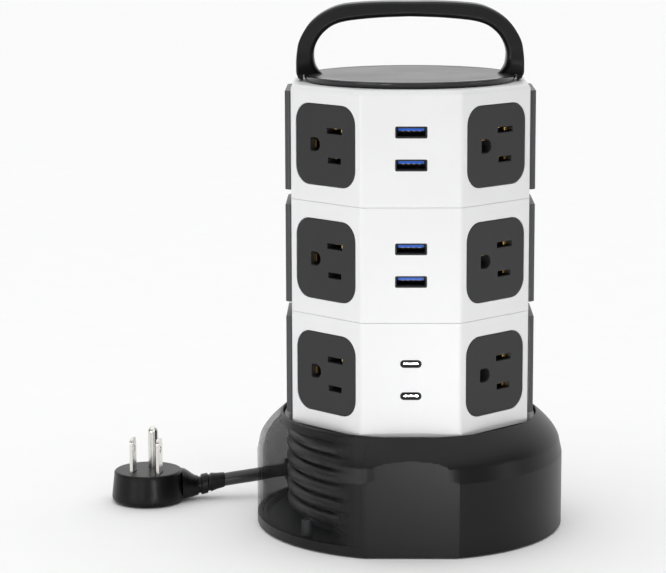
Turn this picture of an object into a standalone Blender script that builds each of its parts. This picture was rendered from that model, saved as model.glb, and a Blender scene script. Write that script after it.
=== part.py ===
"""Three-tier tower power strip; its tower turns on a base that holds the wound-up mains lead.

The origin is on the tower's axis at the floor, +Z is up and the front faces -Y.
Helpers take millimetres and write metres.
"""

import math

import bmesh
import bpy
from mathutils import Matrix, Vector

MM = 0.001
GAP = 0.3

# Tower, an octagon with one flat facing each main direction
APOTHEM = 52.0
EDGE_RADIUS = 2.6
WALL = 2.2
TIERS = {"upper": (150.3, 200.0), "middle": (100.5, 150.0), "lower": (50.3, 100.2)}
CENTRES = {"upper": 175.2, "middle": 125.3, "lower": 75.4}
FLOOR_HOLE = 10.0

# Flush socket plates on the four diagonal faces
PLATE = (36.5, 35.0)
PLATE_RADIUS = 8.0
PLATE_DEPTH = 3.0
DIAGONALS = {"front_left": 225, "front_right": 315, "back_right": 45, "back_left": 135}
SLOT_U = ((0.9, 10.3), (1.5, 9.5))
SLOT_V = 6.35
SLOT_HEIGHT = 2.4
GROUND_U = (-9.3, -3.3)
GROUND_HEIGHT = 5.9

# Raised side sockets
PANEL = (36.0, 43.4)
PANEL_RISE = 2.75
PANEL_BEVEL = 1.5
PANEL_NECK = (32.0, 38.0)
SIDES = {"right": 0, "left": 180}

# USB ports on the front face
USB_A = (13.3, 4.7)
USB_A_HEIGHTS = (182.3, 168.3, 132.4, 118.3)
USB_C = (8.94, 3.2)
USB_C_HEIGHTS = (82.6, 68.5)

# Rear controls
SWITCH_Z = CENTRES["upper"]
ROCKER_PIVOT = (0.0, 49.6, SWITCH_Z)
ROCKER_THROW = 8.0
BREAKER_Z = CENTRES["middle"]
BUTTON_RADIUS = 3.6
LENS_X = 15.0
LENS_RADIUS = 2.2
SWITCH_NECK = (15.4, 21.2)
BREAKER_NECK = 6.2

# Lid and handle
LID_RADIUS = 46.8
LID = (200.3, 202.9)

# Base
BASE_RADIUS = 68.9
BASE_FLAT = 65.7
BASE_WALL = 2.4
COLLAR = 56.9
COLLAR_TOP = 51.3
WINDOW_AZ = (128.0, 252.2)
FOOT_RADIUS = 5.0
SCREW_AZ = (300.0, 0.0, 60.0)
SCREW_R = 63.0
POST_AZ = (223.6, 343.6, 103.6)
POST_R = 62.4
POST_TUBE = (11.0, 14.0)

# Reel and lead
DRUM = 49.0
CORD_DIAMETER = 6.2
TURNS = 6
WINDING = (3.2, 47.1)
LEAD_TANGENT = (-8.83, 51.65)
LEAD_DIRECTION = (-0.9857, -0.1685)
LEAD_HEIGHTS = (
    (26.3, 9.2), (30.0, 10.4), (34.5, 11.55), (38.5, 12.15), (44.7, 12.35), (49.4, 12.09),
    (56.0, 11.25), (63.3, 10.22), (71.9, 9.22), (78.7, 8.36),
)
GROMMET_Z = 12.2
PLUG_REACH = 114.7
PLUG_TOP = 14.8
PRONG_TURN = -11.0

WHITE = ((0.83, 0.83, 0.82), 0.42, 0.0)
BLACK = ((0.022, 0.022, 0.024), 0.38, 0.0)
GREY = ((0.055, 0.057, 0.062), 0.45, 0.0)
SOOT = ((0.035, 0.036, 0.039), 0.4, 0.0)
SMOKE = ((0.05, 0.05, 0.055), 0.12, 0.0)
LID_GREY = ((0.17, 0.17, 0.175), 0.3, 0.0)
RUBBER = ((0.03, 0.03, 0.032), 0.7, 0.0)
STEEL = ((0.62, 0.62, 0.6), 0.3, 1.0)
NICKEL = ((0.72, 0.7, 0.66), 0.25, 1.0)
BRASS = ((0.72, 0.53, 0.22), 0.3, 1.0)
BOARD = ((0.03, 0.17, 0.08), 0.5, 0.0)
AMBER = ((0.85, 0.32, 0.05), 0.2, 0.0)
RED = ((0.55, 0.03, 0.03), 0.35, 0.0)

for old in list(bpy.data.objects):
    bpy.data.objects.remove(old, do_unlink=True)

parts = bpy.data.collections.new("tower_power_strip")
bpy.context.scene.collection.children.link(parts)
cutters = bpy.data.collections.new("cutters")
bpy.context.scene.collection.children.link(cutters)


def empty(name, location=(0, 0, 0), parent=None):
    marker = bpy.data.objects.new(name, None)
    marker.empty_display_size = 0.02
    marker.location = Vector(location) * MM
    marker.parent = parent
    parts.objects.link(marker)
    return marker


base_body = empty("base")
tower_body = empty("tower")


def material(name, look):
    colour, roughness, metallic = look
    made = bpy.data.materials.new(name)
    made.use_nodes = True
    shader = made.node_tree.nodes["Principled BSDF"]
    shader.inputs["Base Color"].default_value = (*colour, 1.0)
    shader.inputs["Roughness"].default_value = roughness
    shader.inputs["Metallic"].default_value = metallic
    made.diffuse_color = (*colour, 1.0)
    return made


def mesh_from(bm, name):
    """Writes the millimetre mesh as metres, closed and facing outwards."""
    bmesh.ops.remove_doubles(bm, verts=bm.verts, dist=0.0005)
    bmesh.ops.recalc_face_normals(bm, faces=bm.faces)
    bmesh.ops.scale(bm, vec=(MM, MM, MM), verts=bm.verts)
    mesh = bpy.data.meshes.new(name)
    bm.to_mesh(mesh)
    bm.free()
    mesh.shade_smooth()
    mesh.set_sharp_from_angle(angle=math.radians(32))
    return mesh


def part(name, bm, look, parent):
    obj = bpy.data.objects.new(name, mesh_from(bm, name))
    obj.data.materials.append(material(name, look))
    obj.parent = parent
    parts.objects.link(obj)
    return obj


def combine(obj, bm, operation):
    """Adds an exact boolean with a hidden helper solid."""
    name = f"{obj.name}_{operation.lower()}_{len(obj.modifiers)}"
    helper = bpy.data.objects.new(name, mesh_from(bm, name))
    helper.display_type = "WIRE"
    helper.hide_render = True
    cutters.objects.link(helper)
    change = obj.modifiers.new(operation.lower(), "BOOLEAN")
    change.operation = operation
    change.solver = "EXACT"
    change.object = helper


def loft(rings, closed=False, bm=None):
    """Joins rings of equal length, and caps both ends unless closed."""
    bm = bm or bmesh.new()
    rows = [[bm.verts.new(point) for point in ring] for ring in rings]
    pairs = list(zip(rows, rows[1:]))
    if closed:
        pairs.append((rows[-1], rows[0]))
    count = len(rows[0])
    for low, high in pairs:
        for i in range(count):
            j = (i + 1) % count
            bm.faces.new((low[i], low[j], high[j], high[i]))
    if not closed:
        bm.faces.new(rows[0])
        bm.faces.new(rows[-1])
    return bm


def lathe(profile, steps=48, closed=False, matrix=None, bm=None):
    """Turns a profile of (radius, height) about the local z axis."""
    bm = bm or bmesh.new()
    verts = [bm.verts.new((r, 0, z)) for r, z in profile]
    edges = [bm.edges.new(pair) for pair in zip(verts, verts[1:])]
    if closed:
        edges.append(bm.edges.new((verts[-1], verts[0])))
    before = set(bm.verts) - set(verts)
    bmesh.ops.spin(
        bm, geom=verts + edges, cent=(0, 0, 0), axis=(0, 0, 1), angle=math.tau, steps=steps
    )
    turned = [v for v in bm.verts if v not in before]
    bmesh.ops.remove_doubles(bm, verts=turned, dist=0.0005)
    if matrix is not None:
        turned = [v for v in bm.verts if v not in before]
        bmesh.ops.transform(bm, matrix=matrix, verts=turned)
    return bm


def prism(outline, low, high, matrix=None, bm=None):
    """Extrudes an outline along the local z axis."""
    bm = bm or bmesh.new()
    matrix = matrix or Matrix.Identity(4)
    face = bm.faces.new([bm.verts.new(matrix @ Vector((x, y, low))) for x, y in outline])
    pulled = bmesh.ops.extrude_face_region(bm, geom=[face], use_keep_orig=True)["geom"]
    moved = [item for item in pulled if isinstance(item, bmesh.types.BMVert)]
    shift = matrix.to_3x3() @ Vector((0, 0, high - low))
    bmesh.ops.translate(bm, vec=shift, verts=moved)
    return bm


def frame(azimuth, height=0.0, x=0.0, y=0.0):
    """Face frame: local x to the viewer's right, y up and z out of the face."""
    turn = math.radians(azimuth)
    out = Vector((math.cos(turn), math.sin(turn), 0))
    right = Vector((-out.y, out.x, 0))
    matrix = Matrix((right, Vector((0, 0, 1)), out)).transposed().to_4x4()
    matrix.translation = Vector((x, y, height))
    return matrix


def at(x, y, z=0.0):
    return Matrix.Translation((x, y, z))


def polar(radius, azimuth):
    turn = math.radians(azimuth)
    return radius * math.cos(turn), radius * math.sin(turn)


def rectangle(width, height, x=0.0, y=0.0):
    half_w = width / 2
    half_h = height / 2
    corners = ((-1, -1), (1, -1), (1, 1), (-1, 1))
    return [(x + i * half_w, y + j * half_h) for i, j in corners]


def rounded(width, height, radius, steps=5, x=0.0, y=0.0):
    """Rectangle with rounded corners."""
    points = []
    for corner, (i, j) in enumerate(((1, 1), (-1, 1), (-1, -1), (1, -1))):
        cx = x + i * (width / 2 - radius)
        cy = y + j * (height / 2 - radius)
        for step in range(steps + 1):
            turn = math.radians(90 * (corner + step / steps))
            points.append((cx + radius * math.cos(turn), cy + radius * math.sin(turn)))
    return points


def circle(radius, steps=24, x=0.0, y=0.0):
    turns = [math.tau * i / steps for i in range(steps)]
    return [(x + radius * math.cos(a), y + radius * math.sin(a)) for a in turns]


def cylinder(radius, low, high, steps=24, matrix=None, bm=None):
    return prism(circle(radius, steps), low, high, matrix, bm)


def octagon(apothem, radius, z, steps=3):
    """Ring of an octagon with rounded corners."""
    points = []
    reach = (apothem - radius) / math.cos(math.radians(22.5))
    for corner in range(8):
        cx, cy = polar(reach, 22.5 + 45 * corner)
        for step in range(steps + 1):
            x, y = polar(radius, 45 * (corner + step / steps))
            points.append(Vector((cx + x, cy + y, z)))
    return points


def ring(radius, z, count, start=0.0):
    """Flat ring of evenly spaced points."""
    turns = [start + 360 * i / count for i in range(count)]
    return [Vector((*polar(radius, a), z)) for a in turns]


def ground_hole(grow=0.0):
    """D-shaped hole, flat towards the viewer's left."""
    half = GROUND_HEIGHT / 2 + grow
    left = GROUND_U[0] - grow
    middle = GROUND_U[1] + grow - half
    turns = [math.radians(-90 + 22.5 * i) for i in range(9)]
    arc = [(middle + half * math.cos(a), half * math.sin(a)) for a in turns]
    return [(left, -half), *arc, (left, half)]


def socket_holes(low, high, matrix):
    """Two blade slots and a ground hole."""
    bm = prism(ground_hole(), low, high, matrix)
    for (start, end), v in zip(SLOT_U, (SLOT_V, -SLOT_V)):
        outline = rectangle(end - start, SLOT_HEIGHT, (start + end) / 2, v)
        prism(outline, low, high, matrix, bm)
    return bm


# Tier housings
def housing_cuts(tier):
    """Openings for every plate, panel, port and control of a tier."""
    bm = bmesh.new()
    z = CENTRES[tier]
    plate = rounded(PLATE[0] + 2 * GAP, PLATE[1] + 2 * GAP, PLATE_RADIUS + GAP)
    neck = rectangle(PANEL_NECK[0] + 2 * GAP, PANEL_NECK[1] + 2 * GAP)
    port_a = rounded(USB_A[0] + 2 * GAP, USB_A[1] + 2 * GAP, 0.7, 2)
    port_c = rounded(USB_C[0] + 2 * GAP, USB_C[1] + 2 * GAP, 1.85, 4)
    cuts = [(plate, frame(azimuth, z)) for azimuth in DIAGONALS.values()]
    cuts += [(neck, frame(azimuth, z)) for azimuth in SIDES.values()]
    cuts += [(port_a, frame(270, height)) for height in USB_A_HEIGHTS if abs(height - z) < 20]
    cuts += [(port_c, frame(270, height)) for height in USB_C_HEIGHTS if abs(height - z) < 20]
    if tier == "upper":
        cuts.append((rectangle(SWITCH_NECK[0] + 0.6, SWITCH_NECK[1] + 0.6), frame(90, z)))
        cuts.append((circle(LENS_RADIUS + GAP, 16, LENS_X), frame(90, z)))
    if tier == "middle":
        cuts.append((circle(BREAKER_NECK + GAP, 28), frame(90, z)))
    for outline, matrix in cuts:
        prism(outline, 45.0, 58.0, matrix, bm)
    return bm


def housing(tier):
    low, high = TIERS[tier]
    inner = APOTHEM - WALL
    skin = [octagon(APOTHEM, EDGE_RADIUS, low), octagon(APOTHEM, EDGE_RADIUS, high)]
    if tier == "upper":
        rings = [octagon(inner, 0.6, high - WALL), octagon(inner, 0.6, low), skin[0]]
        for inset, drop in ((0.0, 2.2), (0.45, 1.0), (1.1, 0.35), (2.2, 0.0)):
            rings.append(octagon(APOTHEM - inset, EDGE_RADIUS, high - drop))
    elif tier == "middle":
        rings = [octagon(inner, 0.6, high), octagon(inner, 0.6, low), *skin]
    else:
        hole = [ring(FLOOR_HOLE, z, 32, 5.625) for z in (low + WALL, low)]
        rings = [octagon(inner, 0.6, high), octagon(inner, 0.6, low + WALL), *hole, *skin]
    made = part(f"{tier}_housing", loft(rings, closed=tier != "upper"), WHITE, tower_body)
    combine(made, housing_cuts(tier), "DIFFERENCE")


for tier_name in TIERS:
    housing(tier_name)


# Sockets
def socket_plate(name, matrix):
    outline = rounded(*PLATE, PLATE_RADIUS)
    bm = prism(outline, APOTHEM - PLATE_DEPTH, APOTHEM, matrix)
    made = part(name, bm, GREY, tower_body)
    combine(made, socket_holes(40.0, 60.0, matrix), "DIFFERENCE")


def side_panel(name, matrix):
    half = PANEL[0] / 2
    rise = APOTHEM + PANEL_RISE
    section = [
        (half, APOTHEM + GAP), (half, rise - PANEL_BEVEL), (half - PANEL_BEVEL, rise),
        (PANEL_BEVEL - half, rise), (-half, rise - PANEL_BEVEL), (-half, APOTHEM + GAP),
    ]
    upright = matrix @ Matrix.Rotation(math.radians(90), 4, "X")
    bm = prism(section, -PANEL[1] / 2, PANEL[1] / 2, upright)
    made = part(name, bm, GREY, tower_body)
    neck = prism(rectangle(*PANEL_NECK), APOTHEM - PLATE_DEPTH, APOTHEM + 1.0, matrix)
    combine(made, neck, "UNION")
    combine(made, socket_holes(40.0, 60.0, matrix), "DIFFERENCE")


for tier_name, tier_z in CENTRES.items():
    for side, azimuth in DIAGONALS.items():
        socket_plate(f"{tier_name}_plate_{side}", frame(azimuth, tier_z))
    for side, azimuth in SIDES.items():
        side_panel(f"{tier_name}_panel_{side}", frame(azimuth, tier_z))


# USB ports
def usb_port(name, size, radius, steps, wall, tongue, height):
    matrix = frame(270, height)
    bm = prism(rounded(*size, radius, steps), 40.0, APOTHEM, matrix)
    made = part(name, bm, SOOT, tower_body)
    inner = rounded(size[0] - 2 * wall, size[1] - 2 * wall, 0.8 * radius, steps)
    combine(made, prism(inner, 42.0, 60.0, matrix), "DIFFERENCE")
    width, thickness, shift = tongue
    bar = rectangle(width, thickness, 0.0, shift)
    combine(made, prism(bar, 41.0, APOTHEM - 1.0, matrix), "UNION")


for number, port_z in enumerate(USB_A_HEIGHTS, 1):
    usb_port(f"usb_a_port_{number}", USB_A, 0.5, 2, 0.45, (11.4, 1.2, 0.75), port_z)
for number, port_z in enumerate(USB_C_HEIGHTS, 1):
    usb_port(f"usb_c_port_{number}", USB_C, 1.55, 4, 0.35, (6.7, 0.7, 0.0), port_z)

# Current-carrying parts and charger board inside the tower
for name, azimuth, radius in (
    ("line_busbar", 20.0, 34.0), ("neutral_busbar", 160.0, 34.0), ("ground_busbar", 90.0, 30.0)
):
    bar_x, bar_y = polar(radius, azimuth)
    turn = Matrix.Rotation(math.radians(azimuth + 90), 4, "Z")
    bm = prism(rectangle(9.0, 1.2), 52.8, 194.0, at(bar_x, bar_y) @ turn)
    part(name, bm, BRASS, tower_body)
part("usb_board", prism(rectangle(36.0, 1.6, 0.0, -38.5), 60.0, 190.0), BOARD, tower_body)


# Rear controls
def switch():
    matrix = frame(90, SWITCH_Z)
    flange = rounded(19.0, 25.0, 1.5, 3)
    made = part("switch_housing", prism(flange, 52.3, 53.8, matrix), SOOT, tower_body)
    combine(made, prism(rectangle(*SWITCH_NECK), 43.5, 53.0, matrix), "UNION")
    combine(made, prism(rectangle(13.0, 18.8), 45.5, 60.0, matrix), "DIFFERENCE")
    x, y, z = ROCKER_PIVOT
    across = Matrix.Translation((x, y, z)) @ Matrix.Rotation(math.radians(90), 4, "Y")
    combine(made, cylinder(1.3, -7.4, 7.4, 16, across), "DIFFERENCE")

    pivot = empty("power_rocker_pivot", ROCKER_PIVOT, tower_body)
    outline = [
        (-2.0, -7.0), (3.4, -8.4), (2.4, -3.0), (2.2, 0.0), (2.4, 3.0), (3.4, 8.4), (-2.0, 7.0)
    ]
    order = Matrix(((0, 0, 1), (1, 0, 0), (0, 1, 0))).to_4x4()
    tilt = Matrix.Rotation(math.radians(-ROCKER_THROW), 4, "X")
    rocker = part("power_rocker", prism(outline, -6.2, 6.2, tilt @ order), RED, pivot)
    combine(rocker, cylinder(1.0, -7.2, 7.2, 12, order), "UNION")
    rocker.modifiers[0].object.parent = pivot


def breaker():
    matrix = frame(90, BREAKER_Z)
    bore = BUTTON_RADIUS + GAP
    profile = [
        (0, 40.0), (BREAKER_NECK, 40.0), (BREAKER_NECK, 52.3), (8.0, 52.3), (8.0, 53.3),
        (7.4, 54.0), (bore, 54.0), (bore, 41.5), (0, 41.5),
    ]
    part("circuit_breaker", lathe(profile, 28, False, matrix), SOOT, tower_body)
    slide = empty("reset_button_slide", (0, APOTHEM, BREAKER_Z), tower_body)
    button = [
        (0, -7.0), (BUTTON_RADIUS, -7.0), (BUTTON_RADIUS, 4.3), (3.0, 5.0), (0, 5.0)
    ]
    part("reset_button", lathe(button, 24, False, frame(90)), RED, slide)


switch()
breaker()
lens = [(0, 47.0), (LENS_RADIUS, 47.0), (LENS_RADIUS, 52.3), (1.6, 53.2), (0, 53.5)]
lens_frame = frame(90, SWITCH_Z, -LENS_X)
part("indicator_lens", lathe(lens, 16, False, lens_frame), AMBER, tower_body)

# Lid
rim = LID_RADIUS
lid = [
    (0, LID[0]), (rim - 1.0, LID[0]), (rim - 0.3, LID[0] + 0.7), (rim, LID[0] + 1.4),
    (rim, LID[1] - 0.7), (rim - 0.25, LID[1] - 0.2), (rim - 0.8, LID[1]), (0, LID[1]),
]
part("lid", lathe(lid, 64), LID_GREY, tower_body)


# Handle
def arch_section(outer, inner, depth):
    """Section of the arch from its bevelled outer edge to its rounded inner one."""
    way = (inner - outer).normalized()
    thickness = (inner - outer).length
    points = []
    for inset, half in (
        (0.0, depth - 1.1), (0.9, depth), (thickness - 2.3, depth), (thickness - 0.8, depth - 0.9),
        (thickness, depth - 2.8),
    ):
        spot = outer + way * inset
        points.append((spot.x, half, spot.y))
    back = [(x, -y, z) for x, y, z in reversed(points)]
    return [Vector(point) for point in points + back]


def handle():
    right = [
        ((49.9, 203.2), (39.0, 203.2), 9.0), ((50.0, 204.6), (40.6, 205.2), 8.4),
        ((50.0, 207.2), (42.0, 208.4), 7.8), ((49.7, 212.0), (42.4, 211.9), 7.5),
        ((48.5, 218.4), (41.4, 215.6), 7.5), ((46.2, 222.3), (39.7, 219.2), 7.5),
        ((42.3, 227.2), (36.7, 222.3), 7.5), ((37.0, 230.6), (33.0, 224.8), 7.5),
        ((31.2, 233.0), (28.6, 226.1), 7.5), ((24.0, 234.0), (22.5, 227.0), 7.5),
        ((12.0, 234.6), (12.0, 227.8), 7.5),
    ]
    left = [((-ox, oz), (-ix, iz), half) for (ox, oz), (ix, iz), half in reversed(right)]
    rings = [arch_section(Vector(o), Vector(i), half) for o, i, half in right + left]
    made = part("handle", loft(rings), SOOT, tower_body)
    tongues = bmesh.new()
    tongue = [(47.15, 204.2), (49.8, 204.2), (49.5, 201.8), (48.5, 200.5), (47.15, 200.4)]
    for side in (1, -1):
        outline = [(side * x, -z) for x, z in tongue]
        prism(outline, -6.5, 6.5, Matrix.Rotation(math.radians(-90), 4, "X"), tongues)
    combine(made, tongues, "UNION")


handle()


# Base shell, base plate and feet
def base_azimuths():
    """Even steps round each side, with finer ones across the two flats."""
    half = math.degrees(math.acos(BASE_FLAT / BASE_RADIUS))
    turns = []
    for middle in (0, 180):
        side = 180 - 2 * half
        turns += [middle - side / 2 + side * i / 34 for i in range(34)]
        turns += [middle + 90 - half + 2 * half * i / 8 for i in range(8)]
    return turns


AZIMUTHS = base_azimuths()
CHORD = math.sqrt(BASE_RADIUS**2 - BASE_FLAT**2)


def base_ring(radius, z, flat, rise=0.0):
    """Ring cut by the two flats, arching up across them by rise."""
    points = []
    for azimuth in AZIMUTHS:
        lean = abs(math.sin(math.radians(azimuth)))
        flattened = radius * lean > flat
        x, y = polar(flat / lean if flattened else radius, azimuth)
        lift = rise * max(0.0, 1 - (x / CHORD) ** 2) if flattened else 0.0
        points.append(Vector((x, y, z + lift)))
    return points


def base_shell():
    """The cover's wall, band and shoulder, up to the collar round the tower."""
    inside = BASE_FLAT - BASE_WALL
    outer = [(BASE_RADIUS, 0.4, 0.0), (BASE_RADIUS, 33.2, 3.0), (67.6, 39.2, 2.5)]
    outer += [(66.33, 42.0, 1.2), (64.2, 44.9, 0.0), (61.28, 48.0, 0.0)]
    outer.append((57.5, COLLAR_TOP, 0.0))
    inner = [(COLLAR, COLLAR_TOP, 0.0), (COLLAR, 48.6, 0.0), (59.6, 46.3, 0.0), (62.36, 43.4, 0.0)]
    inner += [(64.2, 40.7, 1.0), (65.2, 38.8, 1.6), (66.5, 33.0, 2.4), (66.5, 0.4, 0.0)]
    rings = [base_ring(r, z, BASE_FLAT, rise) for r, z, rise in outer]
    rings += [base_ring(r, z, inside, rise) for r, z, rise in inner]
    return loft(rings, closed=True)


def sector(inner, outer, low, high, start, end, steps=28):
    """Block bounded by two radii, two heights and two azimuths."""
    rings = []
    for i in range(steps + 1):
        turn = start + (end - start) * i / steps
        corners = ((inner, low), (outer, low), (outer, high), (inner, high))
        rings.append([Vector((*polar(r, turn), z)) for r, z in corners])
    return loft(rings)


def lead_point(reach, height):
    x = LEAD_TANGENT[0] + LEAD_DIRECTION[0] * reach
    y = LEAD_TANGENT[1] + LEAD_DIRECTION[1] * reach
    return Vector((x, y, height))


def lead_frame(reach, height):
    """Frame whose z axis runs along the lead, away from the base."""
    azimuth = math.degrees(math.atan2(LEAD_DIRECTION[1], LEAD_DIRECTION[0]))
    spot = lead_point(reach, height)
    return frame(azimuth, spot.z, spot.x, spot.y)


cover = part("base_cover", base_shell(), BLACK, base_body)
combine(cover, sector(58.3, 76.0, 4.8, 60.0, *WINDOW_AZ), "DIFFERENCE")
bosses = bmesh.new()
threads = bmesh.new()
for azimuth in SCREW_AZ:
    spot = at(*polar(SCREW_R, azimuth))
    cylinder(3.7, 4.9, 20.0, 20, spot, bosses)
    cylinder(1.3, 2.0, 15.0, 12, spot, threads)
combine(cover, bosses, "UNION")
combine(cover, threads, "DIFFERENCE")

window = part("cord_window", base_shell(), SMOKE, base_body)
inset = (WINDOW_AZ[0] + 0.27, WINDOW_AZ[1] - 0.27)
combine(window, sector(58.6, 75.0, 5.1, 59.0, *inset), "INTERSECT")
combine(window, cylinder(5.5, -16.0, 16.0, 24, lead_frame(44.0, GROMMET_Z)), "DIFFERENCE")
sleeve = [(3.4, -6.5), (5.2, -6.5), (5.2, 6.0), (4.7, 6.5), (3.4, 6.5)]
part("cord_grommet", lathe(sleeve, 24, True, lead_frame(43.5, GROMMET_Z)), RUBBER, base_body)

PLATE_FLAT = BASE_FLAT - BASE_WALL - GAP
bore, tube = POST_TUBE
plate_rings = [base_ring(66.2, 0.6, PLATE_FLAT), base_ring(66.2, 4.5, PLATE_FLAT)]
plate_rings += [base_ring(65.2, 4.5, PLATE_FLAT - 1.0), base_ring(63.4, 2.6, PLATE_FLAT - 2.8)]
post_profile = ((tube, 2.6), (tube, 46.0), (bore, 46.0), (bore, 2.6))
plate_rings += [base_ring(r, z, 99.0) for r, z in post_profile]
base_plate = part("base_plate", loft(plate_rings), GREY, base_body)
posts = bmesh.new()
pockets = bmesh.new()
for azimuth in POST_AZ:
    spot = at(*polar(POST_R, azimuth))
    cylinder(2.45, 1.8, 11.6, 20, spot, posts)
    cylinder(1.4, 5.0, 14.0, 12, spot, pockets)
for azimuth in SCREW_AZ:
    spot = at(*polar(SCREW_R, azimuth))
    screw_hole = [(0, -1.0), (2.6, -1.0), (2.6, 2.1), (1.3, 2.1), (1.3, 8.0), (0, 8.0)]
    lathe(screw_hole, 16, False, spot, pockets)
for number in range(4):
    cylinder(FOOT_RADIUS + GAP, -1.0, 1.7, 28, at(*polar(52.0, 45 + 90 * number)), pockets)
combine(base_plate, posts, "UNION")
combine(base_plate, pockets, "DIFFERENCE")

for number in range(4):
    foot = [(0, 0), (FOOT_RADIUS - 0.4, 0), (FOOT_RADIUS, 0.4), (FOOT_RADIUS, 1.4), (0, 1.4)]
    spot = at(*polar(52.0, 45 + 90 * number))
    part(f"foot_{number + 1}", lathe(foot, 28, False, spot), RUBBER, base_body)
for number, azimuth in enumerate(SCREW_AZ, 1):
    screw = [(0, 0.8), (2.3, 0.8), (2.3, 1.8), (1.0, 1.8), (1.0, 13.4), (0, 14.2)]
    spot = at(*polar(SCREW_R, azimuth))
    part(f"base_screw_{number}", lathe(screw, 12, False, spot), STEEL, base_body)

# Reel
reel = [
    (14.4, 3.6), (DRUM, 3.6), (DRUM, 47.0), (46.6, 47.0), (46.6, 5.6), (17.0, 5.6),
    (17.0, 45.7), (14.4, 45.7),
]
part("cord_reel", lathe(reel, 56, True), SOOT, tower_body)
flange = [(17.5, 47.4), (56.0, 47.4), (56.6, 48.0), (56.6, 49.4), (56.0, 50.0), (17.5, 50.0)]
part("reel_flange", lathe(flange, 64, True), LID_GREY, tower_body)
stopper = [
    (0, 40.0), (bore - GAP, 40.0), (bore - GAP, 46.3), (16.5, 46.3), (16.5, 48.6), (0, 48.6),
]
part("pivot_retainer", lathe(stopper, 40), STEEL, base_body)


# Lead
def winding():
    """Six touching turns, scalloped outside where the turns meet."""
    low, high = WINDING
    half = (high - low) / TURNS / 2
    profile = [(DRUM + GAP, high), (DRUM + GAP, low)]
    for turn in range(TURNS):
        middle = low + half * (2 * turn + 1)
        profile += [(54.0, middle - half), (55.2, middle - half * 0.5), (55.5, middle)]
        profile += [(55.2, middle + half * 0.5)]
    profile.append((54.0, high))
    part("cord_winding", lathe(profile, 48, True), BLACK, base_body)


def lead():
    curve = bpy.data.curves.new("cord_lead", "CURVE")
    curve.dimensions = "3D"
    line = curve.splines.new("POLY")
    line.points.add(len(LEAD_HEIGHTS) - 1)
    for point, (reach, height) in zip(line.points, LEAD_HEIGHTS):
        point.co = (*(lead_point(reach, height) * MM), 1.0)
    curve.bevel_depth = CORD_DIAMETER / 2 * MM
    curve.bevel_resolution = 2
    curve.use_fill_caps = True
    curve.materials.append(material("cord_lead", BLACK))
    obj = bpy.data.objects.new("cord_lead", curve)
    obj.parent = base_body
    parts.objects.link(obj)


def oval(width, height, matrix, count=20):
    """Squarish oval ring across the lead."""
    points = []
    for i in range(count):
        a = math.tau * i / count
        x = math.copysign(abs(math.cos(a)) ** 0.8, math.cos(a)) * width / 2
        y = math.copysign(abs(math.sin(a)) ** 0.8, math.sin(a)) * height / 2
        points.append(matrix @ Vector((x, y, 0)))
    return points


def strain_relief():
    stations = (
        (100.5, 17.5, 13.8, 7.5), (98.0, 16.6, 13.6, 7.4), (95.6, 13.4, 12.0, 6.9),
        (93.6, 10.6, 10.3, 6.3), (91.8, 9.1, 9.1, 6.1), (91.2, 8.0, 8.0, 6.2),
        (90.2, 8.0, 8.0, 6.4), (89.7, 9.3, 9.3, 6.55), (87.2, 9.2, 9.2, 7.0),
        (86.7, 7.9, 7.9, 7.05), (85.7, 7.8, 7.8, 7.3), (85.2, 8.5, 8.5, 7.35),
        (82.6, 7.4, 7.4, 7.8), (79.1, 6.7, 6.7, 8.3),
    )
    rings = [oval(w, h, lead_frame(s, z)) for s, w, h, z in stations]
    made = part("strain_relief", loft(rings), BLACK, base_body)
    x, y, _ = lead_point(PLUG_REACH, 0)
    combine(made, cylinder(17.4, -2.0, 20.0, 64, at(x, y)), "DIFFERENCE")


def plug():
    x, y, _ = lead_point(PLUG_REACH, 0)
    profile = [
        (0, 0), (14.4, 0), (15.8, 0.35), (16.8, 1.2), (17.1, 2.4), (16.8, 5.0), (15.9, 13.0),
        (15.7, 14.0), (15.3, 14.6), (14.7, PLUG_TOP), (0, PLUG_TOP),
    ]
    body = part("plug_body", lathe(profile, 48, False, at(x, y)), BLACK, base_body)
    pockets = bmesh.new()
    blades = {"line_blade": (-128.4, 27.1), "neutral_blade": (-115.95, 24.7)}
    outline = [
        (-3.175, 6.4), (3.175, 6.4), (3.175, 29.0), (2.2, 31.3), (-2.2, 31.3), (-3.175, 29.0),
    ]
    for name, (bx, by) in blades.items():
        matrix = frame(PRONG_TURN, 0.0, bx, by)
        prism(rectangle(6.95, 20.0, 0.0, 16.1), -1.05, 1.05, matrix, pockets)
        blade = part(name, prism(outline, -0.75, 0.75, matrix), NICKEL, base_body)
        hole = matrix @ Matrix.Translation((0, 26.0, 0))
        combine(blade, cylinder(1.5, -3.0, 3.0, 16, hole), "DIFFERENCE")
    pin_spot = at(-119.9, 37.6)
    cylinder(2.7, 6.1, 20.0, 24, pin_spot, pockets)
    combine(body, pockets, "DIFFERENCE")
    pin = [(0, 6.4), (2.4, 6.4), (2.4, 32.2), (2.1, 33.3), (1.3, 34.15), (0, 34.4)]
    part("ground_pin", lathe(pin, 24, False, pin_spot), NICKEL, base_body)


winding()
lead()
strain_relief()
plug()
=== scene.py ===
import math

import bmesh
import bpy
from mathutils import Matrix, Vector


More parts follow.
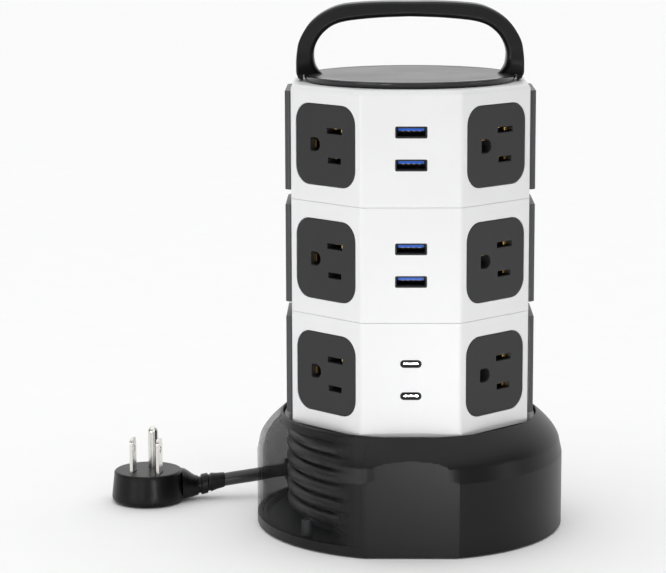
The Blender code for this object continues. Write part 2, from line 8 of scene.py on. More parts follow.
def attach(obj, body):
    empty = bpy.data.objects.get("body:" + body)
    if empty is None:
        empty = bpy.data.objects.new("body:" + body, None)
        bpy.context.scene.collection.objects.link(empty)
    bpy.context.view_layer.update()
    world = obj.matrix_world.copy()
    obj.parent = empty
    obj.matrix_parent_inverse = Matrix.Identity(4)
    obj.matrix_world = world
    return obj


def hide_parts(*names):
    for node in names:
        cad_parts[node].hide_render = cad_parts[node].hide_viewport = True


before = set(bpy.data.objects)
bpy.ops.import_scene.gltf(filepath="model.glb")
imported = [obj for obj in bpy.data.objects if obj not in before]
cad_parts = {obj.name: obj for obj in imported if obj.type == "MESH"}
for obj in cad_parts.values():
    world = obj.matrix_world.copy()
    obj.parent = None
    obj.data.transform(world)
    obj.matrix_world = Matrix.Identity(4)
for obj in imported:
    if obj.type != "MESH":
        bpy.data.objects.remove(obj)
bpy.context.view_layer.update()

MM = 0.001
APOTHEM = 52.0
CORNER = 2.6
WALL = 2.2
# Each tier's underside, top and the height of its sockets
TIERS = {"upper": (150.3, 200.0, 175.2), "middle": (100.5, 150.0, 125.3), "lower": (50.3, 100.2, 75.4)}
DIAGONALS = {"front_left": 225, "front_right": 315, "back_right": 45, "back_left": 135}
SIDES = {"right": 0, "left": 180}
PLATE = (36.5, 35.0)
PLATE_RADIUS = 8.0
PANEL_RISE = 2.75
USB_A_HEIGHTS = (182.3, 168.3, 132.4, 118.3)
USB_C_HEIGHTS = (82.6, 68.5)
BASE_RADIUS = 68.9
BASE_FLAT = 65.7
BASE_WALL = 2.4
BASE_SCREW_AZ = (300.0, 0.0, 60.0)
WINDOW_AZ = (128.0, 252.2)
GROMMET_Z = 12.2
CORD_DIAMETER = 6.2
PLUG = (-121.89, 32.32)
GROUND_PIN = (-119.9, 37.6)
BLADES = {"line_blade": (-128.4, 27.1), "neutral_blade": (-115.95, 24.7)}
PRONG_TURN = -11.0
scene = bpy.context.scene


# Camera
def aim(camera, yaw, pitch, roll):
    """Turns the camera from looking along +Y: left by yaw, down by pitch."""
    yaw, pitch, roll = (math.radians(a) for a in (yaw, pitch, roll))
    forward = Vector((-math.sin(yaw) * math.cos(pitch), math.cos(yaw) * math.cos(pitch), -math.sin(pitch)))
    right = Vector((math.cos(yaw), math.sin(yaw), 0))
    up = right.cross(forward)
    right, up = (right * math.cos(roll) + up * math.sin(roll), up * math.cos(roll) - right * math.sin(roll))
    camera.rotation_euler = Matrix((right, up, -forward)).transposed().to_euler()


lens = bpy.data.cameras.new("camera")
lens.lens = 130.35
lens.sensor_width = 36.0
lens.clip_start = 0.05
lens.clip_end = 50.0
camera = bpy.data.objects.new("camera", lens)
camera.location = (-0.0138, -1.0660, 0.2923)
aim(camera, 1.101, 9.841, -0.206)
scene.collection.objects.link(camera)
scene.camera = camera


# Materials
def material(
    name, colour, rough, metallic=0.0, grain=2600.0, bump=0.25, depth=0.00003,
    mottle=0.06, rough_spread=0.08, stretch=(1, 1, 1), coat=0.0, spec=0.5,
):
    """Moulded or plated surface: fine grain in the bump, slow drift in colour and polish."""
    made = bpy.data.materials.new(name)
    made.use_nodes = True
    tree = made.node_tree
    nodes, links = tree.nodes, tree.links
    shader = nodes["Principled BSDF"]
    shader.inputs["Metallic"].default_value = metallic
    shader.inputs["Coat Weight"].default_value = coat
    shader.inputs["Coat Roughness"].default_value = 0.12
    shader.inputs["Specular IOR Level"].default_value = spec
    where = nodes.new("ShaderNodeTexCoord")
    place = nodes.new("ShaderNodeMapping")
    place.inputs["Scale"].default_value = stretch
    links.new(where.outputs["Object"], place.inputs["Vector"])

    slow = nodes.new("ShaderNodeTexNoise")
    slow.inputs["Scale"].default_value = 38.0
    slow.inputs["Detail"].default_value = 5.0
    links.new(place.outputs["Vector"], slow.inputs["Vector"])
    ramp = nodes.new("ShaderNodeValToRGB")
    low = [c * (1 - mottle) for c in colour]
    high = [min(1.0, c * (1 + mottle)) for c in colour]
    ramp.color_ramp.elements[0].position = 0.3
    ramp.color_ramp.elements[0].color = (*low, 1)
    ramp.color_ramp.elements[1].position = 0.7
    ramp.color_ramp.elements[1].color = (*high, 1)
    links.new(slow.outputs["Fac"], ramp.inputs["Fac"])
    links.new(ramp.outputs["Color"], shader.inputs["Base Color"])

    fine = nodes.new("ShaderNodeTexNoise")
    fine.inputs["Scale"].default_value = grain
    fine.inputs["Detail"].default_value = 3.0
    links.new(place.outputs["Vector"], fine.inputs["Vector"])
    polish = nodes.new("ShaderNodeMapRange")
    polish.inputs["To Min"].default_value = max(0.03, rough - rough_spread)
    polish.inputs["To Max"].default_value = min(1.0, rough + rough_spread)
    links.new(slow.outputs["Fac"], polish.inputs["Value"])
    links.new(polish.outputs["Result"], shader.inputs["Roughness"])
    relief = nodes.new("ShaderNodeBump")
    relief.inputs["Strength"].default_value = bump
    relief.inputs["Distance"].default_value = depth
    links.new(fine.outputs["Fac"], relief.inputs["Height"])
    links.new(relief.outputs["Normal"], shader.inputs["Normal"])
    return made


WHITE = material("white_moulding", (0.78, 0.78, 0.785), 0.40, grain=2200, bump=0.10, mottle=0.012)
DARK = material(
    "dark_grey_moulding", (0.020, 0.020, 0.0212), 0.46, grain=3000, bump=0.3, mottle=0.10, spec=0.35,
)
PANEL = material("panel_moulding", (0.045, 0.046, 0.049), 0.42, grain=3000, bump=0.35, mottle=0.10)
WELL = material("socket_well", (0.012, 0.012, 0.013), 0.55, grain=2500, bump=0.3)
BLACK = material(
    "base_moulding", (0.0045, 0.0045, 0.0048), 0.36, grain=2600, bump=0.16, mottle=0.12,
    rough_spread=0.03, spec=0.25,
)
HANDLE = material(
    "handle_moulding", (0.0075, 0.0076, 0.008), 0.36, grain=2600, bump=0.2, mottle=0.12, spec=0.25,
)
SMOKE = material(
    "smoked_window", (0.0045, 0.0045, 0.0048), 0.34, grain=900, bump=0.0, mottle=0.1,
    rough_spread=0.03, spec=0.25,
)
LID_TOP = material("lid_satin", (0.034, 0.034, 0.0355), 0.30, grain=3000, bump=0.25, mottle=0.05)
LID_RIM = material("lid_rim", (0.020, 0.020, 0.022), 0.12, grain=1500, bump=0.05, rough_spread=0.04)
FLANGE = material("reel_flange_satin", (0.030, 0.030, 0.032), 0.3, grain=2500, bump=0.2)
INNER = material("inner_moulding", (0.030, 0.031, 0.034), 0.45, grain=2600, bump=0.3, mottle=0.1)
RUBBER = material("soft_rubber", (0.020, 0.020, 0.021), 0.68, grain=1800, bump=0.5, mottle=0.15)
JACKET = material(
    "cord_jacket", (0.012, 0.012, 0.0125), 0.30, grain=2400, bump=0.04, mottle=0.12, spec=0.6,
)
PLUG_BLACK = material(
    "plug_moulding", (0.0045, 0.0045, 0.0048), 0.32, grain=2600, bump=0.2, mottle=0.12, spec=0.2,
)
NICKEL = material(
    "nickel_plate", (0.72, 0.71, 0.68), 0.22, 1.0, grain=900, bump=0.12, mottle=0.04, stretch=(1, 1, 0.08)
)
SHELL = material("port_shell", (0.66, 0.66, 0.66), 0.28, 1.0, grain=1200, bump=0.1, mottle=0.05)
STEEL = material("zinc_steel", (0.60, 0.60, 0.58), 0.3, 1.0, grain=1500, bump=0.2, mottle=0.08)
BRASS = material("brass_strip", (0.78, 0.52, 0.16), 0.26, 1.0, grain=1200, bump=0.2, mottle=0.1)
BLUE = material("blue_tongue", (0.004, 0.11, 0.60), 0.30, grain=2600, bump=0.15, mottle=0.1)
RED = material("red_control", (0.50, 0.020, 0.016), 0.26, grain=2600, bump=0.1, mottle=0.06, coat=0.2)
AMBER = material("amber_lens", (0.85, 0.30, 0.03), 0.12, grain=1200, bump=0.05, mottle=0.1, coat=0.4)
BOARD = material("circuit_board", (0.02, 0.13, 0.055), 0.4, grain=700, bump=0.3, mottle=0.25)


def fade(look, clear, rear, start, end):
    """Smoked plastic, clear at the front left, darker at the rear and solid past the end x position."""
    tree = look.node_tree
    where = tree.nodes.new("ShaderNodeTexCoord")
    split = tree.nodes.new("ShaderNodeSeparateXYZ")
    tree.links.new(where.outputs["Object"], split.inputs["Vector"])
    larger = tree.nodes.new("ShaderNodeMath")
    larger.operation = "MAXIMUM"
    spans = (("X", start, end, clear, 1.0), ("Y", -8.0, 14.0, clear, rear))
    for index, (output, low, high, first, last) in enumerate(spans):
        span = tree.nodes.new("ShaderNodeMapRange")
        span.interpolation_type = "SMOOTHSTEP"
        span.inputs["From Min"].default_value = low * MM
        span.inputs["From Max"].default_value = high * MM
        span.inputs["To Min"].default_value = first
        span.inputs["To Max"].default_value = last
        tree.links.new(split.outputs[output], span.inputs["Value"])
        tree.links.new(span.outputs["Result"], larger.inputs[index])
    tree.links.new(larger.outputs["Value"], tree.nodes["Principled BSDF"].inputs["Alpha"])


fade(SMOKE, clear=0.16, rear=0.66, start=-35.0, end=-22.5)


# Mesh helpers, in millimetres
def paint(bm, index):
    for face in bm.faces:
        face.material_index = index
    return bm


def merge(*pieces):
    """One mesh from several, each with its own material index."""
    whole = bmesh.new()
    for index, bm in enumerate(pieces):
        bmesh.ops.remove_doubles(bm, verts=bm.verts, dist=0.0004)
        bmesh.ops.recalc_face_normals(bm, faces=bm.faces)
        paint(bm, index)
        scratch = bpy.data.meshes.new("scratch")
        bm.to_mesh(scratch)
        bm.free()
        whole.from_mesh(scratch)
        bpy.data.meshes.remove(scratch)
    return whole


def piece(name, bm, looks, body, nodes=(), cut=None, bevel=0.0, segments=2, sharp=38, tidy=True):
    """Turns the millimetre mesh into a finished piece that stands for the given CAD nodes."""
    if tidy:
        bmesh.ops.remove_doubles(bm, verts=bm.verts, dist=0.0004)
        bmesh.ops.recalc_face_normals(bm, faces=bm.faces)
    bmesh.ops.scale(bm, vec=(MM, MM, MM), verts=bm.verts)
    mesh = bpy.data.meshes.new(name)
    bm.to_mesh(mesh)
    bm.free()
    obj = bpy.data.objects.new(name, mesh)
    scene.collection.objects.link(obj)
    looks = looks if isinstance(looks, (list, tuple)) else [looks]
    for look in looks:
        mesh.materials.append(look)
    helper = None
    if cut is not None:
        bmesh.ops.recalc_face_normals(cut, faces=cut.faces)
        bmesh.ops.scale(cut, vec=(MM, MM, MM), verts=cut.verts)
        shape = bpy.data.meshes.new(name + "_cut")
        cut.to_mesh(shape)
        cut.free()
        helper = bpy.data.objects.new(name + "_cut", shape)
        scene.collection.objects.link(helper)
        change = obj.modifiers.new("cut", "BOOLEAN")
        change.operation = "DIFFERENCE"
        change.solver = "EXACT"
        change.object = helper
        change.material_mode = "TRANSFER"
    if bevel:
        soft = obj.modifiers.new("edges", "BEVEL")
        soft.width = bevel * MM
        soft.segments = segments
        soft.limit_method = "ANGLE"
        soft.angle_limit = math.radians(32)
        soft.harden_normals = False
        soft.use_clamp_overlap = True
    if cut is not None or bevel:
        graph = bpy.context.evaluated_depsgraph_get()
        final = bpy.data.meshes.new_from_object(obj.evaluated_get(graph))
        obj.modifiers.clear()
        obj.data = final
    if helper is not None:
        bpy.data.objects.remove(helper, do_unlink=True)
    obj.data.shade_smooth()
    obj.data.set_sharp_from_angle(angle=math.radians(sharp))
    even = obj.modifiers.new("shading", "WEIGHTED_NORMAL")
    even.keep_sharp = True
    even.weight = 80
    if nodes:
        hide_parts(*nodes)
    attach(obj, body)
    return obj


def loft(rings, closed=False, bm=None):
    """Joins rings of equal length, and caps both ends unless closed."""
    bm = bm or bmesh.new()
    rows = [[bm.verts.new(point) for point in ring] for ring in rings]
    pairs = list(zip(rows, rows[1:]))
    if closed:
        pairs.append((rows[-1], rows[0]))
    count = len(rows[0])
    for low, high in pairs:
        for i in range(count):
            j = (i + 1) % count
            bm.faces.new((low[i], low[j], high[j], high[i]))
    if not closed:
        bm.faces.new(rows[0])
        bm.faces.new(rows[-1])
    return bm


def lathe(profile, steps=96, closed=False, matrix=None, bm=None):
    """Turns a profile of (radius, height) about the local z axis."""
    target = bm or bmesh.new()
    made = bmesh.new()
    verts = [made.verts.new((r, 0, z)) for r, z in profile]
    edges = [made.edges.new(pair) for pair in zip(verts, verts[1:])]
    if closed:
        edges.append(made.edges.new((verts[-1], verts[0])))
    bmesh.ops.spin(
        made, geom=verts + edges, cent=(0, 0, 0), axis=(0, 0, 1), angle=math.tau, steps=steps
    )
    bmesh.ops.remove_doubles(made, verts=made.verts, dist=0.0005)
    if matrix is not None:
        bmesh.ops.transform(made, matrix=matrix, verts=made.verts)
    scratch = bpy.data.meshes.new("scratch")
    made.to_mesh(scratch)
    made.free()
    target.from_mesh(scratch)
    bpy.data.meshes.remove(scratch)
    return target


def prism(outline, low, high, matrix=None, bm=None):
    matrix = matrix or Matrix.Identity(4)
    return loft([[matrix @ Vector((x, y, z)) for x, y in outline] for z in (low, high)], bm=bm)


def frame_at(azimuth, height=0.0, x=0.0, y=0.0):
    """Face frame: local x to the viewer's right, y up and z out of the face."""
    turn = math.radians(azimuth)
    out = Vector((math.cos(turn), math.sin(turn), 0))
    right = Vector((-out.y, out.x, 0))
    matrix = Matrix((right, Vector((0, 0, 1)), out)).transposed().to_4x4()
    matrix.translation = Vector((x, y, height))
    return matrix


def at(x, y, z=0.0):
    return Matrix.Translation((x, y, z))


def polar(radius, azimuth):
    turn = math.radians(azimuth)
    return radius * math.cos(turn), radius * math.sin(turn)


def rectangle(width, height, x=0.0, y=0.0):
    corners = ((-1, -1), (1, -1), (1, 1), (-1, 1))
    return [(x + i * width / 2, y + j * height / 2) for i, j in corners]


def rounded(width, height, radius, steps=8, x=0.0, y=0.0):
    points = []
    for corner, (i, j) in enumerate(((1, 1), (-1, 1), (-1, -1), (1, -1))):
        cx = x + i * (width / 2 - radius)
        cy = y + j * (height / 2 - radius)
        for step in range(steps + 1):
            turn = math.radians(90 * (corner + step / steps))
            points.append((cx + radius * math.cos(turn), cy + radius * math.sin(turn)))
    return points


def circle(radius, steps=32, x=0.0, y=0.0):
    turns = [math.tau * i / steps for i in range(steps)]
    return [(x + radius * math.cos(a), y + radius * math.sin(a)) for a in turns]


def octagon(apothem, radius, z, steps=8):
    """Ring of an octagon with rounded corners."""
    points = []
    reach = (apothem - radius) / math.cos(math.radians(22.5))
    for corner in range(8):
        cx, cy = polar(reach, 22.5 + 45 * corner)
        for step in range(steps + 1):
            x, y = polar(radius, 45 * (corner + step / steps))
            points.append(Vector((cx + x, cy + y, z)))
    return points


def smooth_path(points, steps):
    """Catmull-Rom points through the given ones."""
    points = [Vector(p) for p in points]
    ends = [points[0] * 2 - points[1], *points, points[-1] * 2 - points[-2]]
    line = []
    for a, b, c, d in zip(ends, ends[1:], ends[2:], ends[3:]):
        for i in range(steps):
            t = i / steps
            bend = (2 * a - 5 * b + 4 * c - d) * t**2 + (3 * b - a - 3 * c + d) * t**3
            line.append(0.5 * (2 * b + (c - a) * t + bend))
    return [*line, points[-1]]


# Tier housings
def housing(tier):
    low, high, z = TIERS[tier]
    inner = APOTHEM - WALL
    low -= 0.0 if tier == "lower" else 0.12
    high += 0.0 if tier == "upper" else 0.12
    if tier == "upper":
        rings = [octagon(inner, 0.6, high - WALL), octagon(inner, 0.6, low), octagon(APOTHEM, CORNER, low)]
        for i in range(9):
            turn = math.radians(90 * i / 8)
            inset = WALL * (1 - math.cos(turn))
            rings.append(octagon(APOTHEM - inset, CORNER, high - WALL * (1 - math.sin(turn))))
    elif tier == "middle":
        rings = [octagon(inner, 0.6, high), octagon(inner, 0.6, low), octagon(APOTHEM, CORNER, low)]
        rings.append(octagon(APOTHEM, CORNER, high))
    else:
        turns = [360 * i / 72 + 2.5 for i in range(72)]
        hole = [[Vector((*polar(10.0, a), h)) for a in turns] for h in (low + WALL, low)]
        rings = [octagon(inner, 0.6, high), octagon(inner, 0.6, low + WALL), *hole]
        rings += [octagon(APOTHEM, CORNER, low), octagon(APOTHEM, CORNER, high)]
    cut = bmesh.new()
    for azimuth in DIAGONALS.values():
        opening = rounded(PLATE[0] + 0.3, PLATE[1] + 0.3, PLATE_RADIUS + 0.15)
        prism(opening, 45.0, 58.0, frame_at(azimuth, z), cut)
    for azimuth in SIDES.values():
        prism(rectangle(32.6, 38.6), 45.0, 58.0, frame_at(azimuth, z), cut)
    for height in USB_A_HEIGHTS:
        if abs(height - z) < 20:
            prism(rounded(13.5, 4.9, 0.7, 4), 45.0, 58.0, frame_at(270, height), cut)
    for height in USB_C_HEIGHTS:
        if abs(height - z) < 20:
            prism(rounded(9.1, 3.3, 1.6, 6), 45.0, 58.0, frame_at(270, height), cut)
    if tier == "upper":
        prism(rectangle(16.0, 21.8), 45.0, 58.0, frame_at(90, z), cut)
        prism(circle(2.5, 24, 15.0), 45.0, 58.0, frame_at(90, z), cut)
    if tier == "middle":
        prism(circle(6.5, 40), 45.0, 58.0, frame_at(90, z), cut)
    bm = loft(rings, closed=tier != "upper")
    piece(f"{tier}_shell", bm, WHITE, "tower", [f"{tier}_housing"], cut, bevel=0.22)


for tier_name in TIERS:
    housing(tier_name)


# Sockets
def ground_hole():
    """D-shaped hole with its flat side to the viewer's left."""
    half = 2.95
    left = -9.3
    middle = -3.3 - half
    turns = [math.radians(-90 + 12 * i) for i in range(16)]
    arc = [(middle + half * math.cos(a), half * math.sin(a)) for a in turns]
    return [(left + 0.5, -half), *arc, (left + 0.5, half), (left, half - 0.5), (left, 0.5 - half)]


def socket_holes(low, high, matrix):
    bm = prism(ground_hole(), low, high, matrix)
    prism(rectangle(9.4, 2.4, 5.6, 6.35), low, high, matrix, bm)
    prism(rectangle(8.0, 2.4, 5.5, -6.35), low, high, matrix, bm)
    return bm


contacts = bmesh.new()


def add_contacts(matrix, face):
    """Brass leaves just inside each hole."""
    for outline in (
        rectangle(2.6, 1.3, 8.7, 6.35), rectangle(2.6, 0.4, 3.2, 7.2), rectangle(1.8, 1.2, 8.3, -6.35),
        rectangle(2.6, 0.4, 3.2, -5.5), rectangle(0.9, 3.2, -8.6, 0.0), rectangle(2.0, 0.5, -5.6, 2.4),
    ):
        prism(outline, face - 8.0, face - 2.6, matrix, contacts)


for tier_name, (_, _, tier_z) in TIERS.items():
    for side, azimuth in DIAGONALS.items():
        spot = frame_at(azimuth, tier_z)
        bm = prism(rounded(*PLATE, PLATE_RADIUS, 12), 41.0, APOTHEM, spot)
        cad = f"{tier_name}_plate_{side}"
        holes = socket_holes(42.5, 60.0, spot)
        piece(cad + "_face", bm, DARK, "tower", [cad], holes, bevel=0.32, segments=3)
        add_contacts(spot, APOTHEM)
    for side, azimuth in SIDES.items():
        spot = frame_at(azimuth, tier_z)
        upright = spot @ Matrix.Rotation(math.radians(90), 4, "X")
        rise = APOTHEM + PANEL_RISE
        outline = [
            (18.0, APOTHEM + 0.05), (18.0, rise - 1.5), (16.5, rise), (-16.5, rise), (-18.0, rise - 1.5),
            (-18.0, APOTHEM + 0.05),
        ]
        bm = prism(outline, -21.7, 21.7, upright)
        cad = f"{tier_name}_panel_{side}"
        holes = socket_holes(46.0, 60.0, spot)
        piece(cad + "_face", bm, PANEL, "tower", [cad], holes, bevel=0.35, segments=3)
        neck = prism(rectangle(32.0, 38.0), 43.0, APOTHEM, spot)
        piece(cad + "_core", neck, WELL, "tower", (), socket_holes(44.0, 60.0, spot))
        add_contacts(spot, rise)
piece("socket_contacts", contacts, BRASS, "tower")


# USB ports
def ring_of(outer, inner, low, high, matrix, edge=0.18):
    """Hollow sleeve with softened front edges."""
    def row(outline, z):
        return [matrix @ Vector((x, y, z)) for x, y in outline]

    def grow(outline, by):
        return [(x + math.copysign(by, x), y + math.copysign(by, y)) for x, y in outline]

    rows = [row(outer, low), row(outer, high - edge), row(grow(outer, -edge), high)]
    rows += [row(grow(inner, edge), high), row(inner, high - edge), row(inner, low)]
    return loft(rows, closed=True)


def usb_a(number, height):
    spot = frame_at(270, height)
    shell = ring_of(rounded(13.3, 4.7, 0.6, 5), rounded(12.5, 3.9, 0.3, 5), 40.5, 52.0, spot)
    well = prism(rectangle(12.6, 4.0), 40.2, 41.0, spot)
    ring_back = ring_of(rounded(12.45, 3.85, 0.3, 4), rounded(12.1, 3.5, 0.3, 4), 41.0, 51.0, spot, 0.05)
    tongue = prism(rounded(11.0, 1.1, 0.2, 3, 0.0, 1.05), 41.0, 50.2, spot)
    pins = bmesh.new()
    for slot in range(4):
        prism(rectangle(1.1, 0.12, -3.5 + 7.0 * slot / 3, 0.33), 42.0, 49.4, spot, pins)
    bm = merge(shell, well, ring_back, tongue, pins)
    looks = [WELL, WELL, WELL, BLUE, BRASS]
    piece(f"usb_a_insert_{number}", bm, looks, "tower", [f"usb_a_port_{number}"], tidy=False)


def usb_c(number, height):
    spot = frame_at(270, height)
    shell = ring_of(rounded(8.94, 3.2, 1.58, 8), rounded(8.3, 2.56, 1.26, 8), 42.0, 52.0, spot, 0.1)
    well = prism(rectangle(8.4, 2.7), 41.8, 42.3, spot)
    lining = ring_of(rounded(8.26, 2.52, 1.25, 8), rounded(7.9, 2.2, 1.08, 8), 42.3, 51.4, spot, 0.05)
    tongue = prism(rounded(6.6, 0.9, 0.42, 4), 42.3, 51.5, spot)
    bm = merge(shell, well, lining, tongue)
    looks = [WELL, WELL, WELL, SHELL]
    piece(f"usb_c_insert_{number}", bm, looks, "tower", [f"usb_c_port_{number}"], tidy=False)


for index, port_z in enumerate(USB_A_HEIGHTS, 1):
    usb_a(index, port_z)
for index, port_z in enumerate(USB_C_HEIGHTS, 1):
    usb_c(index, port_z)


# Lid
turns = [math.radians(90 * i / 6) for i in range(7)]
bend = [(46.0 + 0.8 * math.sin(a), 202.1 + 0.8 * math.cos(a)) for a in turns]
skirt = [(46.8, 201.7), (46.5, 201.0), (45.8, 200.3), (0, 200.3)]
cap = lathe([(0, 202.75), (44.6, 202.75)], 128)
rim = lathe([(44.6, 202.75), (44.9, 202.9), (45.9, 202.9), *bend, *skirt], 128)
piece("lid_cap", merge(cap, rim), [LID_TOP, LID_RIM], "tower", ["lid"])


# Handle
def arch_section(outer, inner, outer_half, inner_half):
    """Flat outer edge with a crisp bevel, rounder inner edge."""
    way = (inner - outer).normalized()
    thick = (inner - outer).length
    edge = 0.85
    soft = min(2.3, thick * 0.4)
    side = [(0.0, outer_half - edge * 1.2), (edge * 0.5, outer_half - edge * 0.5), (edge, outer_half)]
    for i in range(7):
        a = math.radians(15 * i)
        half = inner_half - soft * 1.15 * (1 - math.cos(a))
        side.append((thick - soft + soft * math.sin(a), half))
    spots = [(outer + way * inset, half) for inset, half in side]
    front = [Vector((p.x, -half, p.y)) for p, half in spots]
    back = [Vector((p.x, half, p.y)) for p, half in reversed(spots)]
    return front + back


arch = [
    ((49.7, 203.0), (38.6, 203.0), 9.6, 2.9), ((49.95, 204.2), (40.2, 204.6), 9.1, 4.6),
    ((50.0, 206.2), (41.6, 206.8), 8.5, 6.2), ((50.0, 209.0), (42.2, 209.4), 7.9, 7.2),
    ((49.7, 212.6), (42.3, 212.2), 7.5, 7.4), ((48.9, 217.0), (41.8, 214.8), 7.5, 7.5),
    ((46.8, 221.4), (40.4, 218.0), 7.5, 7.5), ((43.4, 226.0), (37.8, 221.4), 7.5, 7.5),
    ((38.2, 230.0), (33.8, 224.4), 7.5, 7.5), ((31.2, 233.0), (28.6, 226.1), 7.5, 7.5),
    ((23.0, 234.1), (22.0, 227.0), 7.5, 7.5), ((12.0, 234.6), (12.0, 227.8), 7.5, 7.5),
    ((0.0, 234.6), (0.0, 228.2), 7.5, 7.5),
]
columns = [smooth_path([Vector((*row[column], 0)) for row in arch], 4) for column in (0, 1)]
columns.append(smooth_path([Vector((*row[2:], 0)) for row in arch], 4))
rings = []
for outer, inner, half in zip(*columns):
    rings.append(arch_section(outer.xy, inner.xy, half.x, half.y))
mirrored = [[Vector((-p.x, p.y, p.z)) for p in ring] for ring in reversed(rings[:-1])]
bm = loft(rings + mirrored)
tongues = [
    (46.2, 204.6), (49.9, 204.6), (49.75, 202.6), (49.2, 201.2), (48.2, 200.45), (47.1, 200.35),
    (47.1, 203.1),
]
for side in (1, -1):
    rows = []
    for half, shrink in ((6.6, 0.55), (6.0, 0.85), (5.0, 1.0), (-5.0, 1.0), (-6.0, 0.85), (-6.6, 0.55)):
        row = []
        for x, z in tongues:
            z = 204.6 - (204.6 - z) * shrink if z < 204 else z
            row.append(Vector((side * x, half, z)))
        rows.append(row)
    loft(rows, bm=bm)
piece("handle_arch", bm, HANDLE, "tower", ["handle"], sharp=30)


# Base shell
CHORD = math.sqrt(BASE_RADIUS**2 - BASE_FLAT**2)


def shell_point(radius, z, flat, rise, azimuth):
    """Point of the round shell, pulled in to its flat, where its height arches up by rise."""
    lean = abs(math.sin(math.radians(azimuth)))
    flattened = radius * lean > flat
    x, y = polar(flat / lean if flattened else radius, azimuth)
    lift = rise * max(0.0, 1 - (x / CHORD) ** 2) if flattened else 0.0
    return Vector((x, y, z + lift))


def shoulder(t):
    """Radius and height along the shoulder's curve, from the band at 0 to the collar at 1."""
    r = (1 - t) ** 2 * 67.6 + 2 * t * (1 - t) * 65.9 + t * t * 57.5
    z = (1 - t) ** 2 * 39.2 + 2 * t * (1 - t) * 44.6 + t * t * 51.3
    return r, z


def solve_shoulder(radius):
    low, high = 0.0, 1.0
    for _ in range(40):
        middle = (low + high) / 2
        if shoulder(middle)[0] > radius:
            low = middle
        else:
            high = middle
    return shoulder(low)


# Profile points are radius, height and the rise over the flat
outer_wall = [(68.5, 0.4, 0.0), (68.9, 0.8, 0.0), (68.9, 5.0, 0.0), (68.9, 18.0, 0.0), (68.9, 32.9, 3.0)]
outer_wall += [(68.85, 33.2, 3.0), (67.6, 39.1, 2.5), (67.5, 39.5, 2.4)]
outer_top = []
for i in range(1, 13):
    r, z = shoulder(i / 12)
    outer_top.append((r, z, max(0.0, 2.3 * (1 - i / 4))))
rim_edge = [(57.2, 51.35, 0.0), (56.95, 51.2, 0.0), (56.9, 50.9, 0.0), (56.9, 48.6, 0.0)]
inner_top = [(59.6, 46.3, 0.0), (62.36, 43.4, 0.0), (64.2, 40.7, 1.0), (65.2, 38.8, 1.6)]
inner_wall = [(66.5, 33.0, 2.4), (66.5, 18.0, 0.0), (66.5, 5.0, 0.0), (66.5, 0.4, 0.0)]


def section(points, azimuth, inner_from):
    """Cross-section of the shell at an azimuth; points from inner_from on are on its inside."""
    return [
        shell_point(r, z, BASE_FLAT if i < inner_from else BASE_FLAT - BASE_WALL, rise, azimuth)
        for i, (r, z, rise) in enumerate(points)
    ]


def turns_between(start, end):
    """Azimuths from start to end, finer over the flats and exact at their ends."""
    half = math.degrees(math.acos(BASE_FLAT / BASE_RADIUS))
    marks = {start, end}
    value = math.ceil(start / 2.0) * 2.0
    while value < end:
        marks.add(value)
        value += 2.0
    for middle in (-90, 90, 270, 450):
        for i in range(-20, 21):
            a = middle + half * i / 20
            if start < a < end:
                marks.add(a)
    ordered = sorted(marks)
    kept = [ordered[0]]
    for a in ordered[1:]:
        if a - kept[-1] > 0.35 or a == ordered[-1]:
            kept.append(a)
    return kept


full = outer_wall + outer_top + rim_edge + inner_top + inner_wall
split = len(outer_wall) + len(outer_top) + len(rim_edge)
window_start, window_end = WINDOW_AZ
_, z_top = solve_shoulder(58.3)
strip = [(68.5, 0.4, 0.0), (68.9, 0.8, 0.0), (68.9, 4.75, 0.0), (68.85, 4.8, 0.0)]
strip += [(66.55, 4.8, 0.0), (66.5, 4.75, 0.0), (66.5, 0.4, 0.0)]
collar = [(58.3, z_top - 0.1, 0.0), (58.1, 50.95, 0.0), (57.5, 51.3, 0.0), *rim_edge, (58.3, 47.45, 0.0)]
cover = loft([section(full, a, split) for a in turns_between(window_end - 360, window_start)])
loft([section(strip, a, 4) for a in turns_between(window_start, window_end)], bm=cover)
loft([section(collar, a, 99) for a in turns_between(window_start, window_end)], bm=cover)
for azimuth in BASE_SCREW_AZ:
    prism(circle(3.7, 32), 4.9, 20.0, at(*polar(62.9, azimuth)), cover)
piece("base_shell", cover, BLACK, "base", ["base_cover"], sharp=9)

glass_outer = [(68.85, 4.84, 0.0), (68.9, 4.9, 0.0), (68.9, 18.0, 0.0), (68.9, 32.9, 3.0)]
glass_outer += [(68.85, 33.2, 3.0), (67.6, 39.1, 2.5), (67.5, 39.5, 2.4)]
glass_outer += [point for point in outer_top if point[0] > 59.0]
r_end, z_end = solve_shoulder(58.34)
glass_outer.append((r_end, z_end, 0.0))
glass_inner = [(58.34, 47.42, 0.0), *inner_top]
glass_inner += [(66.5, 33.0, 2.4), (66.5, 18.0, 0.0), (66.5, 4.9, 0.0), (66.55, 4.84, 0.0)]
glass = [
    section(glass_outer + glass_inner, a, len(glass_outer))
    for a in turns_between(window_start + 0.04, window_end - 0.04)
]
# The lead leaves the winding along this line
LEAD_START = (-8.83, 51.65)
LEAD = Vector((-0.9857, -0.1685, 0)).normalized()


def lead_point(reach, height):
    return Vector((LEAD_START[0] + LEAD.x * reach, LEAD_START[1] + LEAD.y * reach, height))


def lead_frame(reach, height):
    """Frame whose z axis runs along the lead, away from the base."""
    spot = lead_point(reach, height)
    return frame_at(math.degrees(math.atan2(LEAD.y, LEAD.x)), spot.z, spot.x, spot.y)


